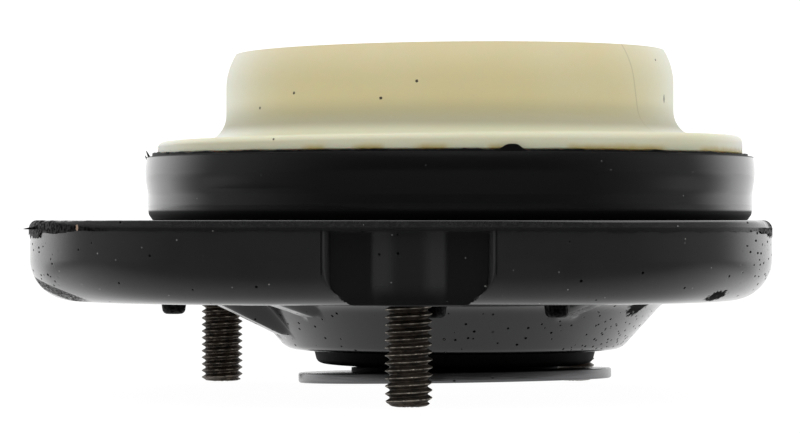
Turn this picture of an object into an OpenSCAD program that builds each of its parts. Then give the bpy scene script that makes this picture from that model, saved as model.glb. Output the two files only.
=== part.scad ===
// Top mount of a suspension strut, standing on its studs, spring side up.
// The mounting face is the plane z = 0 and the bearing turns about the Z axis.

/* [Plate] */
// How far the plate reaches beyond the bearing case on the left
plate_ledge_left = 19.3; // [14:0.1:28]
// How far it reaches beyond the case on the right
plate_ledge_right = 1.7; // [1.2:0.1:12]
// How far it reaches beyond the case at the front
plate_ledge_front = 6.7; // [6:0.1:12]
// How far it reaches beyond the case at the back
plate_ledge_back = 3.9; // [2:0.1:12]
// Thickness of the plate
plate_h = 13.8; // [12.6:0.2:18]
// Radius of the plate's corners in plan
plate_corner_r = 46; // [30:1:54]
// Rolled radius along the plate's lower edge
plate_roll_r = 7.2; // [2:0.2:8]
// Rounding of the plate's upper edge
plate_top_r = 0.8; // [0.2:0.1:1]
// Height of the band above the mould's parting line
rim_band_h = 1.6; // [1.2:0.1:3]
// How far that band stands proud of the wall below it
rim_proud = 0.25; // [0.1:0.05:0.6]

/* [Front recess] */
// Width of the recess in the plate's front wall
recess_w = 25.4; // [22.6:0.2:32]
// Depth of the recess behind the front wall
recess_depth = 2.8; // [2:0.1:3.6]
// Radius of the recess's lower corners
recess_corner_r = 4.5; // [1:0.1:6]
// Rounding of the recess's upright edges
recess_lip_r = 1.6; // [0.4:0.1:1.9]
// How far the round boss of the front stud stands out of the recess's wall
boss_proud = 1.9; // [0.6:0.1:2]

/* [Studs] */
// Thread diameter of the studs
stud_d = 8; // [6:0.5:10]
// Length of a stud below the mounting face
stud_len = 16.9; // [16:0.1:30]
// Place of the stud circle's centre beside the bearing axis, along X
stud_x = -8; // [-9:0.1:-7]
// Place of the stud circle's centre beside the bearing axis, along Y
stud_y = 0.35; // [0:0.05:2]
// Distance of the front stud behind the plate's front wall
stud_setback = 11.55; // [11:0.05:13]
// Angle from the front stud to the left stud
stud_left_turn = 135.7; // [132:0.1:142]
// Angle from the front stud to the right stud
stud_right_turn = 138.4; // [136:0.1:142]
// Turn of the whole stud pattern
stud_turn = 0.6; // [-2:0.1:2]
// Swell of the knurl that grips the carrier
stud_knurl = 0.4; // [0.2:0.1:0.6]
// Diameter of a stud's head
stud_head_d = 12; // [11:0.2:13]
// Thickness of a stud's head
stud_head_h = 2.4; // [1.5:0.1:4]
// Chamfer at a stud's tip
stud_tip = 0.8; // [0.3:0.1:1.5]

/* [Cone and ribs] */
// How much wider the cone's mouth is than the throat above it
cone_ledge = 1.5; // [0.6:0.1:3]
// Radius of the cone at its lower end
cone_bottom_r = 29.9; // [27:0.1:33]
// Height of the cone below the mounting face
cone_h = 9.1; // [8.5:0.1:11]
// Radius of the flare between cone and plate
cone_flare_r = 3.4; // [1:0.1:4]
// Rounding of the cone's lower edge
cone_edge_r = 2; // [0.5:0.1:3]
// Rubber between the cone's face and the steel cup
cone_skin = 2.4; // [1.8:0.1:3]
// Reach of a rib beyond the cone's mouth
rib_out = 8.3; // [3:0.1:10]
// Thickness of a rib
rib_t = 3; // [2:0.2:5]
// Height of the tall rib at the cone
rib_h = 5.8; // [4:0.1:7]
// Height of the low ribs at the cone
rib_low_h = 2.8; // [1.5:0.1:4]
// Diameter of a nub
nub_d = 4.4; // [3:0.1:6]
// Height of a nub
nub_h = 2.4; // [1:0.1:4]

/* [Steel inside the rubber] */
// Thickness of the carrier's sheet
sheet_t = 2.5; // [2:0.1:3]
// Height of the carrier's deck above the mounting face
deck_z = 4; // [3:0.1:4.2]
// Rubber between the plate's edge and the carrier's edge
carrier_inset = 5; // [4.6:0.1:6]
// Width of the seat ring under the bearing case
seat_w = 14.6; // [12:0.1:15]
// Thickness of the seat ring
seat_t = 2; // [1.5:0.1:2.5]

/* [Bush and rod] */
// Bore for the piston rod
rod_bore_d = 12.1; // [10:0.1:14]
// Outer diameter of the inner sleeve
sleeve_d = 18; // [17:0.2:20]
// Height of the inner sleeve's upper end
sleeve_top = 10.8; // [10.2:0.1:12]
// Diameter of the flange on the inner sleeve
sleeve_flange_d = 42; // [34:0.5:44]
// Thickness of that flange
sleeve_flange_t = 2.5; // [2:0.1:3]
// Height of that flange's underside
sleeve_flange_z = -0.7; // [-1.5:0.1:0]
// How far the rubber neck lies inside the cone's lower edge
neck_inset = 4.6; // [3:0.1:7]
// Height of the neck
neck_h = 2.6; // [2:0.1:5]
// How much narrower the neck is at its end
neck_taper = 0.6; // [0.2:0.1:2]
// Rounding of the neck's lower edge
neck_edge_r = 1.2; // [0.4:0.1:1.6]
// How far the neck and the rebound disc sit to the right of the bearing axis
neck_x = 0.9; // [0.1:0.1:1.4]
// How far the inner sleeve's lower end stands out of the neck
sleeve_proud = 0.3; // [0.1:0.05:0.6]
// How far the bush's upper face lies below the carrier's deck
bush_drop = 0.5; // [0.1:0.1:1.5]
// Depth of the ring channel in the bush's upper face
bush_channel = 2; // [0.5:0.1:2.4]
// Diameter of the rebound disc
disc_d = 56; // [52:0.5:64]
// Thickness of the rebound disc
disc_t = 1.8; // [1.2:0.1:2.2]
// Diameter of the rebound disc's raised middle
disc_hub_d = 37; // [30:0.5:40]
// Height of that middle
disc_hub_h = 0.5; // [0.2:0.05:0.8]
// How many degrees the loose disc leans up towards the front
disc_lean_front = 1.4; // [0:0.05:1.6]
// How many degrees it leans up towards the right
disc_lean_right = 0.95; // [0:0.05:1.4]
// Room between the leaning disc and what it leans on
disc_room = 0.16; // [0.05:0.01:0.3]
// Diameter of the stop washer on the sleeve's upper end
washer_d = 34; // [24:0.5:44]
// Thickness of the stop washer
washer_t = 2; // [1:0.1:4]

/* [Bearing] */
// Outer radius of the bearing case
case_r = 54.1; // [49:0.1:60]
// How far the case's upper half bulges out
case_bulge = 0.3; // [0.1:0.05:0.6]
// Height of the case, from the plate to the flange's running gap
case_h = 11.3; // [11:0.1:13]
// Height of the tapered foot round the case
case_foot_h = 2.5; // [1:0.1:4]
// Thickness of the case's floor
case_floor_t = 1.6; // [1.2:0.1:2]
// Diameter of a ball
ball_d = 6; // [5:0.1:6.2]
// Number of balls
ball_count = 24; // [18:1:30]
// How far the circle of ball centres lies inside the case's outer radius
ball_inset = 9.7; // [9:0.1:12]
// Width of a race's section
race_w = 7; // [6.6:0.1:7.2]
// Thickness of a race under a ball
race_floor_t = 1.3; // [1:0.1:1.5]
// Thickness of the ball cage
cage_t = 1.6; // [1:0.1:1.7]

/* [Spring guide] */
// Diameter of the collar that centres the spring
collar_d = 80; // [74:0.2:88]
// Height of the collar above the flange
collar_h = 15.9; // [12:0.1:24]
// Wall of the collar
collar_wall = 4; // [3:0.1:5]
// Height of the lead-in at the collar's mouth
lead_h = 6.6; // [3:0.1:8]
// Radius of the lead-in's curve
lead_r = 11.5; // [9:0.5:20]
// Fillet at the collar's foot
collar_foot_r = 1.8; // [0.6:0.1:3]
// How far the edge of the spring's flange lies inside the case's outer radius
flange_inset = 1.9; // [1.4:0.1:2.4]
// Thickness of the flange
flange_t = 2.8; // [2:0.1:4]
// Rounding of the flange's upper edge
flange_edge_r = 1.2; // [0.4:0.1:1.6]
// Thickness of the skirt that snaps into the case
skirt_t = 2; // [1.4:0.1:2.6]

/* [Clearances] */
// Film between rubber and steel, and between pressed pieces
bond_gap = 0.05; // [0.03:0.01:0.1]
// Running gap between the turning guide and the case
run_gap = 0.3; // [0.25:0.05:0.5]
// Play between a ball and its races
ball_play = 0.1; // [0.05:0.01:0.1]
// Play round a ball in its cage
cage_play = 0.2; // [0.1:0.05:0.3]

/* [Hidden] */
$fn = 96;
arc_steps = 8;
// Length by which a cutting shape overshoots what it cuts
over = 1;

rubber = [0.09, 0.09, 0.1];
plastic_black = [0.06, 0.06, 0.065];
steel = [0.55, 0.55, 0.57];
steel_dark = [0.3, 0.26, 0.23];
nylon = [0.82, 0.79, 0.62];
cage_plastic = [0.25, 0.35, 0.3];

// Ribs, each with its angle and height, and nubs under the plate, as they lie round the cone
ribs = [[205, rib_h], [227, rib_low_h], [302, rib_low_h]];
rib_foot = 0.5;
nub_draft = 0.6;
nub_spots = [[-48, -20], [-3.3, -41], [17.3, -39]];

// Points along an arc of a circle, from one angle to another
function arc_points(c, r, a0, a1) =
    [for (i = [0:arc_steps]) c + r * [cos(a0 + (a1 - a0) * i / arc_steps),
                                      sin(a0 + (a1 - a0) * i / arc_steps)]];

// Plate round the bearing case, and the studs
plate_w = 2 * case_r + plate_ledge_left + plate_ledge_right;
plate_d = 2 * case_r + plate_ledge_front + plate_ledge_back;
plate_x = (plate_ledge_right - plate_ledge_left) / 2;
plate_y = (plate_ledge_back - plate_ledge_front) / 2;
plate_front_y = plate_y - plate_d / 2 + rim_proud;
recess_wall_y = plate_front_y + recess_depth;
parting_z = plate_h - rim_band_h;
stud_r = stud_d / 2;
front_angle = -90 + stud_turn;
stud_angles = [front_angle, front_angle - stud_left_turn, front_angle + stud_right_turn];
stud_centre = [stud_x, stud_y];
stud_circle_r = (stud_y - plate_front_y - stud_setback) / cos(stud_turn);
function stud_spot(i) = stud_centre + stud_circle_r * [cos(stud_angles[i]), sin(stud_angles[i])];
stud_boss_r = stud_setback - recess_depth + boss_proud;
recess_x = stud_spot(0)[0];

// Bearing heights, upwards from the seat on the plate
case_z = plate_h;
case_top = case_z + case_h;
floor_z = case_z + case_floor_t;
ball_r = ball_d / 2;
ball_circle_r = case_r - ball_inset;
groove_r = ball_r + ball_play;
ball_z = floor_z + race_floor_t + groove_r;
race_top = ball_z + groove_r + race_floor_t;
// Half of the open height between the two races
race_opening = 1.2;
race_in_r = ball_circle_r - race_w / 2;
race_out_r = ball_circle_r + race_w / 2;
// Lips that centre the races in the case and in the guide
race_lip = 0.95;
race_lip_h = 1;
cage_rim = 1.3;
cage_in_r = ball_circle_r - ball_r - cage_play - cage_rim;
cage_out_r = ball_circle_r + ball_r + cage_play + cage_rim;

// Spring guide, and the case's walls beside it
flange_r = case_r - flange_inset;
flange_z = case_top + run_gap;
flange_top = flange_z + flange_t;
collar_r = collar_d / 2;
collar_bore_r = collar_r - collar_wall;
collar_top = flange_top + collar_h;

// The case's inner wall, its bead, and the skirt that snaps under it
inner_room = 1.4;
case_inner_wall = 1.9;
snap = 0.3;
case_in_wall_r = race_in_r - bond_gap - race_lip - inner_room;
case_in_r = case_in_wall_r - case_inner_wall;
hook_r = case_in_r - run_gap;
bead_r = hook_r - snap;
skirt_r = bead_r - run_gap;
skirt_in_r = skirt_r - skirt_t;
bead_h = 1;
bead_top = ball_z + race_opening;
// Hook of the skirt, under the bead, with a sloping nose
hook_h = 1.9;
hook_drop = 0.5;
hook_nose_h = 1.2;
hook_nose_inset = 0.2;
hook_top = bead_top - bead_h - hook_drop;
// Spigot that centres the case in the seat ring
spigot_t = 1.2;
spigot_short = 0.2;
spigot_h = seat_t - spigot_short;
seat_in_r = case_in_r + spigot_t + bond_gap;
throat_r = case_in_r;
seat_out_r = seat_in_r + seat_w;
// Thin lip of the case round the flange's lower edge
lip_r = flange_r + run_gap + bond_gap;
lip_h = 0.65;
lip_t = 0.6;
// Rounding of the case's foot and shoulder
foot_chamfer = [1.2, 0.4];
foot_taper = [0.6, 0.35];
shoulder = [0.3, 1.1];
shoulder_drop = 0.5;
// Shelf in the case's outer wall, under the outer seal
seal_t = 1.2;
seal_base_h = 1.4;
seal_lip_t = 0.5;
seal_lean = 0.2;
shelf_rise = 0.5;
outer_room = 0.8;
seal_shelf_z = bead_top + shelf_rise;
shelf_r = race_out_r + bond_gap + race_lip + outer_room;
case_wall_in_r = shelf_r + seal_t;
guide_step_r = shelf_r - run_gap - seal_lean;
inner_seal_base_h = 1;
inner_seal_in_r = bead_r + run_gap;
inner_seal_lean = 0.5;
flange_chamfer = 0.3;

// Steel cup inside the cone: its faces run parallel to the cone's face
cone_top_r = throat_r + cone_ledge;
rib_reach = cone_top_r + rib_out;
cone_slope = (cone_top_r - cone_bottom_r) / cone_h;
cone_lean = atan(cone_slope);
wall_stretch = sqrt(1 + cone_slope * cone_slope);
function cone_face_r(z, depth) = cone_top_r + cone_slope * z - depth * wall_stretch;
deck_top = deck_z + sheet_t;
cup_bottom = cone_skin - cone_h;
cup_floor = cup_bottom + sheet_t;
neck_r = cone_bottom_r - neck_inset;
cup_hole_r = neck_r + bond_gap;

// Bush, sleeve and discs
bush_top = deck_top - bush_drop;
sleeve_r = sleeve_d / 2;
neck_bottom = -cone_h - neck_h;
sleeve_bottom = neck_bottom - sleeve_proud;
sleeve_flange_r = sleeve_flange_d / 2;
// The rod passes the discs with room to spare
disc_hole_gap = 0.9;
washer_hole_r = rod_bore_d / 2 + disc_hole_gap;
disc_hole_r = washer_hole_r + neck_x;
// The disc leans until its raised middle meets the neck or the sleeve's end
disc_hub_r = disc_hub_d / 2;
disc_slope = sqrt(pow(tan(disc_lean_front), 2) + pow(tan(disc_lean_right), 2));
disc_hub_z = min(neck_bottom - disc_slope * disc_hub_r, sleeve_bottom - disc_slope * (sleeve_r + neck_x))
    - disc_room;
disc_z = disc_hub_z - disc_hub_h;
// The ring channel lies over the flange's edge, with sloping sides
channel_half_w = 6;
channel_slope = 2;
channel_inner_r = sleeve_flange_r - channel_half_w;
channel_outer_r = sleeve_flange_r + channel_half_w;

// Slab with round corners in plan, whose edge has the child outline as its section
module rounded_slab(w, d, r, h) {
    a = w / 2 - r;
    b = d / 2 - r;
    spots = [[a, b], [-a, b], [-a, -b], [a, -b]];
    translate([-a, -b, 0]) cube([2 * a, 2 * b, h]);
    for (k = [0:3]) {
        translate(spots[k]) rotate(90 * k) {
            rotate_extrude(angle = 90) children();
            rotate([90, 0, 0]) linear_extrude(k % 2 == 0 ? 2 * b : 2 * a) children();
        }
    }
}

module plate_form() {
    wall = plate_corner_r - rim_proud;
    section = concat(
        [[0, 0]],
        arc_points([wall - plate_roll_r, plate_roll_r], plate_roll_r, -90, 0),
        [[wall, parting_z], [plate_corner_r, parting_z]],
        arc_points([plate_corner_r - plate_top_r, plate_h - plate_top_r], plate_top_r, 0, 90),
        [[0, plate_h]]);
    translate([plate_x, plate_y, 0])
        rounded_slab(plate_w, plate_d, plate_corner_r, plate_h) polygon(section);
}

// Front view of the recess: upright sides and round lower corners
module recess_outline() {
    half = recess_w / 2;
    r = recess_corner_r;
    polygon(concat(arc_points([r - half, r], r, 180, 270),
                   arc_points([half - r, r], r, 270, 360),
                   [[half, parting_z], [-half, parting_z]]));
}

// Rubber that squares the rolled edge behind the recess
module recess_fill() {
    fill = plate_roll_r + rim_proud;
    translate([recess_x, recess_wall_y + fill, 0])
        rotate([90, 0, 0]) linear_extrude(fill) recess_outline();
}

module recess_cut() {
    translate([recess_x, plate_front_y, 0]) {
        translate([0, recess_depth, 0])
            rotate([90, 0, 0]) linear_extrude(recess_depth + over) recess_outline();
        for (side = [-1, 1]) {
            translate([side * recess_w / 2, 0, recess_corner_r])
                linear_extrude(parting_z - recess_corner_r) difference() {
                    translate([side > 0 ? -over : -recess_lip_r, -over])
                        square([recess_lip_r + over, recess_lip_r + over]);
                    translate([side * recess_lip_r, recess_lip_r]) circle(recess_lip_r);
                }
        }
    }
}

module stud_boss() {
    translate(stud_spot(0)) cylinder(r = stud_boss_r, h = parting_z);
}

// Cone with a hollow flare under the plate and a rounded lower edge
module cone_form() {
    flare_c = [cone_face_r(-cone_flare_r, -cone_flare_r), -cone_flare_r];
    edge_z = cone_edge_r - cone_h;
    edge_c = [cone_face_r(edge_z, cone_edge_r), edge_z];
    rotate_extrude() polygon(concat(
        [[0, over], [flare_c[0], over]],
        arc_points(flare_c, cone_flare_r, 90, 180 - cone_lean),
        arc_points(edge_c, cone_edge_r, -cone_lean, -90),
        [[0, -cone_h]]));
}

module rib(h) {
    inner_r = cone_bottom_r - cone_edge_r;
    foot_r = cone_face_r(-h, 0) + rib_foot;
    rotate([90, 0, 0]) translate([0, 0, -rib_t / 2]) linear_extrude(rib_t)
        polygon([[inner_r, over], [rib_reach, over], [rib_reach, 0], [foot_r, -h], [inner_r, -h]]);
}

module nub() {
    translate([0, 0, -nub_h]) cylinder(d1 = nub_d - nub_draft, d2 = nub_d, h = nub_h + over);
}

// Pressed steel: a flat deck with a conical cup, larger all round by grow
module carrier_form(grow) {
    inset = carrier_inset - grow;
    mouth_r = cone_face_r(deck_z, cone_skin - grow);
    translate([plate_x, plate_y, deck_z - grow]) difference() {
        rounded_slab(plate_w - 2 * inset, plate_d - 2 * inset, plate_corner_r - inset, sheet_t + 2 * grow)
            square([plate_corner_r - inset, sheet_t + 2 * grow]);
        translate([-plate_x, -plate_y, -over])
            cylinder(r = mouth_r, h = sheet_t + 2 * grow + 2 * over);
    }
    rotate_extrude() polygon([
        [cup_hole_r - grow, cup_bottom - grow],
        [cone_face_r(cup_bottom, cone_skin - grow), cup_bottom - grow],
        [mouth_r, deck_z - grow],
        [mouth_r + over, deck_z - grow],
        [mouth_r + over, deck_top + grow],
        [cone_face_r(deck_top, cone_skin + sheet_t + grow), deck_top + grow],
        [cone_face_r(cup_floor, cone_skin + sheet_t + grow), cup_floor + grow],
        [cup_hole_r - grow, cup_floor + grow]]);
}

module stud_form(grow) {
    r = stud_r + grow;
    knurl_r = r + stud_knurl;
    head_r = stud_head_d / 2 + grow;
    head_top = deck_top + stud_head_h + grow;
    rotate_extrude() polygon([
        [0, -stud_len - grow], [r - stud_tip, -stud_len - grow], [r, stud_tip - stud_len],
        [r, -grow], [knurl_r, -grow], [knurl_r, deck_top - grow],
        [head_r, deck_top - grow], [head_r, head_top], [0, head_top]]);
}

// Everything inside the rubber jacket: bush, cup and the throat above the deck
module jacket_core() {
    rotate_extrude() polygon([
        [0, -cone_h - over], [cup_hole_r, -cone_h - over], [cup_hole_r, cup_floor],
        [cone_face_r(cup_floor, cone_skin + sheet_t), cup_floor],
        [cone_face_r(deck_top, cone_skin + sheet_t), deck_top],
        [throat_r, deck_top], [throat_r, plate_h + over], [0, plate_h + over]]);
}

module ring(in_r, out_r, z, h) {
    translate([0, 0, z]) rotate_extrude() translate([in_r, 0]) square([out_r - in_r, h]);
}

module rubber_jacket() {
    color(rubber) difference() {
        union() {
            difference() {
                union() {
                    plate_form();
                    recess_fill();
                }
                recess_cut();
            }
            stud_boss();
            cone_form();
            for (r = ribs) rotate(r[0]) rib(r[1]);
            for (spot = nub_spots) translate(spot) nub();
        }
        jacket_core();
        carrier_form(bond_gap);
        for (i = [0:2]) translate(stud_spot(i)) stud_form(bond_gap);
        ring(throat_r - over, seat_out_r + bond_gap, plate_h - seat_t - bond_gap, seat_t + bond_gap + over);
    }
}

module carrier_plate() {
    color(steel) difference() {
        carrier_form(0);
        for (i = [0:2]) translate(stud_spot(i)) stud_form(bond_gap);
    }
}

module stud(i) {
    color(steel_dark) translate(stud_spot(i)) stud_form(0);
}

module seat_ring() {
    color(steel) ring(seat_in_r, seat_out_r, plate_h - seat_t, seat_t);
}

// Tube with a flange round its middle, larger all round by grow
module sleeve_form(grow) {
    translate([0, 0, sleeve_bottom - grow])
        cylinder(r = sleeve_r + grow, h = sleeve_top - sleeve_bottom + 2 * grow);
    translate([0, 0, sleeve_flange_z - grow])
        cylinder(r = sleeve_flange_r + grow, h = sleeve_flange_t + 2 * grow);
}

// Neck under the cone, a little to one side of the bearing axis, with a round lower edge
module neck_form() {
    end_r = neck_r - neck_taper;
    core_r = end_r - neck_edge_r;
    root_r = core_r - neck_x;
    translate([neck_x, 0, 0]) rotate_extrude() polygon(concat(
        [[0, over - cone_h], [root_r, over - cone_h], [root_r, -cone_h - bond_gap],
         [neck_r - bond_gap, -cone_h - bond_gap]],
        arc_points([core_r, neck_bottom + neck_edge_r], neck_edge_r, 0, -90),
        [[0, neck_bottom]]));
}

module bush_rubber() {
    g = bond_gap;
    skin = cone_skin + sheet_t + g;
    color(rubber) difference() {
        union() {
            rotate_extrude() polygon([
                [0, -cone_h], [neck_r - g, -cone_h], [neck_r - g, cup_floor + g],
                [cone_face_r(cup_floor + g, skin), cup_floor + g], [cone_face_r(bush_top, skin), bush_top],
                [channel_outer_r + channel_slope, bush_top], [channel_outer_r, bush_top - bush_channel],
                [channel_inner_r, bush_top - bush_channel], [channel_inner_r - channel_slope, bush_top],
                [0, bush_top]]);
            neck_form();
        }
        sleeve_form(g);
    }
}

module inner_sleeve() {
    color(steel) difference() {
        sleeve_form(0);
        translate([0, 0, sleeve_bottom - over])
            cylinder(d = rod_bore_d, h = sleeve_top - sleeve_bottom + 2 * over);
    }
}

// Disc with a raised middle, which hangs loose under the neck and leans to one side
module rebound_disc() {
    disc_r = disc_d / 2;
    color(steel_dark) translate([neck_x, 0, disc_z]) rotate([-disc_lean_front, -disc_lean_right, 0])
        rotate_extrude() polygon([
            [disc_hole_r, -disc_t], [disc_r, -disc_t], [disc_r, 0],
            [disc_hub_r, 0], [disc_hub_r, disc_hub_h], [disc_hole_r, disc_hub_h]]);
}

module stop_washer() {
    color(steel) ring(washer_hole_r, washer_d / 2, sleeve_top, washer_t);
}

// Channel that holds the bearing, with a tapered foot, a bulged shoulder and a thin upper lip
module bearing_case() {
    bulge_r = case_r + case_bulge;
    step_z = case_z + case_h / 2;
    race_lip_out_r = race_out_r + bond_gap;
    race_lip_in_r = race_in_r - bond_gap;
    color(plastic_black) rotate_extrude() polygon([
        [case_in_r, case_z - spigot_h], [case_in_r + spigot_t, case_z - spigot_h],
        [case_in_r + spigot_t, case_z], [case_r - foot_chamfer[0], case_z],
        [case_r - foot_taper[0], case_z + foot_chamfer[1]],
        [case_r - foot_taper[1], case_z + case_foot_h / 2],
        [case_r, case_z + case_foot_h], [case_r, step_z],
        [bulge_r, step_z + case_bulge], [bulge_r, case_top - shoulder_drop - shoulder[1]],
        [bulge_r - shoulder[0], case_top - shoulder_drop],
        [lip_r + lip_t, case_top + lip_h], [lip_r, case_top + lip_h], [lip_r, case_top],
        [case_wall_in_r, case_top], [case_wall_in_r, seal_shelf_z],
        [shelf_r, seal_shelf_z], [shelf_r, floor_z],
        [race_lip_out_r + race_lip, floor_z], [race_lip_out_r + race_lip, floor_z + race_lip_h],
        [race_lip_out_r, floor_z + race_lip_h], [race_lip_out_r, floor_z],
        [race_lip_in_r, floor_z], [race_lip_in_r, floor_z + race_lip_h],
        [race_lip_in_r - race_lip, floor_z + race_lip_h], [race_lip_in_r - race_lip, floor_z],
        [case_in_wall_r, floor_z], [case_in_wall_r, bead_top], [bead_r, bead_top],
        [bead_r, bead_top - bead_h], [case_in_r, bead_top - bead_h]]);
}

// Flat ring with a round ball groove in its face at z_face, from z_back
module race(z_back, z_face) {
    rotate_extrude() difference() {
        translate([race_in_r, min(z_back, z_face)]) square([race_w, abs(z_face - z_back)]);
        translate([ball_circle_r, ball_z]) circle(groove_r);
    }
}

module fixed_race() {
    color(steel) race(floor_z, ball_z - race_opening);
}

module turning_race() {
    color(steel) race(race_top, ball_z + race_opening);
}

module balls() {
    color(steel) for (i = [0:ball_count - 1])
        rotate(360 * i / ball_count) translate([ball_circle_r, 0, ball_z]) sphere(ball_r);
}

module ball_cage() {
    color(cage_plastic) difference() {
        ring(cage_in_r, cage_out_r, ball_z - cage_t / 2, cage_t);
        for (i = [0:ball_count - 1])
            rotate(360 * i / ball_count) translate([ball_circle_r, 0, ball_z - cage_t])
                cylinder(r = ball_r + cage_play, h = 2 * cage_t);
    }
}

// Rubber ring on the case's shelf, with a lip that stops short of the flange
module outer_seal() {
    out_r = case_wall_in_r - bond_gap;
    base_top = seal_shelf_z + seal_base_h;
    lip_top = flange_z - run_gap;
    lip_in_r = shelf_r + seal_lean;
    color(rubber) rotate_extrude() polygon([
        [shelf_r, seal_shelf_z], [out_r, seal_shelf_z], [out_r, base_top],
        [lip_in_r + seal_lip_t, lip_top], [lip_in_r, lip_top],
        [lip_in_r + seal_lean, base_top], [shelf_r, base_top]]);
}

// Rubber ring on the case's inner wall, with a lip that stops short of the guide
module inner_seal() {
    base_top = bead_top + inner_seal_base_h;
    lip_top = race_top - run_gap;
    lip_in_r = inner_seal_in_r + inner_seal_lean;
    color(rubber) rotate_extrude() polygon([
        [inner_seal_in_r, bead_top], [case_in_wall_r, bead_top], [case_in_wall_r, base_top],
        [lip_in_r + seal_lip_t, lip_top], [lip_in_r, lip_top],
        [lip_in_r, base_top], [inner_seal_in_r, base_top]]);
}

// Collar and flange in one moulding, with the snap-in skirt and the turning race's seat below
module spring_guide() {
    lip_in_r = race_in_r - bond_gap;
    lip_out_r = race_out_r + bond_gap;
    lip_z = race_top - race_lip_h;
    flange_edge_c = [flange_r - flange_edge_r, flange_top - flange_edge_r];
    foot_c = [collar_r + collar_foot_r, flange_top + collar_foot_r];
    lead_c = [collar_r - lead_r, collar_top - lead_h];
    color(nylon) rotate_extrude() polygon(concat(
        [[skirt_in_r, hook_top - hook_h], [skirt_r - hook_nose_inset, hook_top - hook_h],
         [hook_r, hook_top - hook_h + hook_nose_h], [hook_r, hook_top],
         [skirt_r, hook_top], [skirt_r, race_top],
         [lip_in_r - race_lip, race_top], [lip_in_r - race_lip, lip_z],
         [lip_in_r, lip_z], [lip_in_r, race_top],
         [lip_out_r, race_top], [lip_out_r, lip_z],
         [lip_out_r + race_lip, lip_z], [lip_out_r + race_lip, race_top],
         [guide_step_r, race_top], [guide_step_r, flange_z],
         [flange_r - flange_chamfer, flange_z], [flange_r, flange_z + flange_chamfer]],
        arc_points(flange_edge_c, flange_edge_r, 0, 90),
        arc_points(foot_c, collar_foot_r, 270, 180),
        arc_points(lead_c, lead_r, 0, asin(lead_h / lead_r)),
        [[collar_bore_r, collar_top], [collar_bore_r, flange_top], [skirt_in_r, flange_top]]));
}

rubber_jacket();
carrier_plate();
stud(0);  // stud_front
stud(1);  // stud_left
stud(2);  // stud_right
seat_ring();
bush_rubber();
inner_sleeve();
rebound_disc();
stop_washer();
bearing_case();
fixed_race();
balls();
ball_cage();
turning_race();
outer_seal();
inner_seal();
spring_guide();
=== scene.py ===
import math

import bpy
import numpy as np
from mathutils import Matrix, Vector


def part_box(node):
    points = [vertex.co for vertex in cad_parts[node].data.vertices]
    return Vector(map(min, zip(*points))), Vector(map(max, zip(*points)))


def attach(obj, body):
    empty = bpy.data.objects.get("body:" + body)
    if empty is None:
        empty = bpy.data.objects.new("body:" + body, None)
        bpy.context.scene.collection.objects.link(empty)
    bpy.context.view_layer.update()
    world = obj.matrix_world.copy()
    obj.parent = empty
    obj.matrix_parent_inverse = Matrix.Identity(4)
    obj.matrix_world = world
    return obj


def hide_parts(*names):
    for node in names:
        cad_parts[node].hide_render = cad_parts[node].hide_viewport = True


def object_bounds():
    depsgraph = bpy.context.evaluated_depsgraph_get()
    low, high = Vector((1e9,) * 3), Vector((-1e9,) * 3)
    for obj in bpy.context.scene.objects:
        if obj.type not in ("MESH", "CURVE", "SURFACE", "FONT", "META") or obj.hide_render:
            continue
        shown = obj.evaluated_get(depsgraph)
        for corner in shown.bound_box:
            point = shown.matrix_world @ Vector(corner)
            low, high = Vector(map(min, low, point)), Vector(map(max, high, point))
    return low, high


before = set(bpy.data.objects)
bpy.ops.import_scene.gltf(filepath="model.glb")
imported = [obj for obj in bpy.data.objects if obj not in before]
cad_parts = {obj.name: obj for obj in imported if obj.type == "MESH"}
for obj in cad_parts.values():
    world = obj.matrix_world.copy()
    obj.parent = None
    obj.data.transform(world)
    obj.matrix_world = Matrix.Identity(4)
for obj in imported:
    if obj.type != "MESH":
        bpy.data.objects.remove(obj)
cad_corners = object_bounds()

# Carrier plate and seat ring: sheet steel, pressed to shape. The carrier lies inside the rubber and
# holds the studs' heads and the bush; the ring is let into the rubber under the bearing.
# Both have a grey phosphate coat, a little cloudy, which lets the rubber bond.

mm = 0.001


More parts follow.
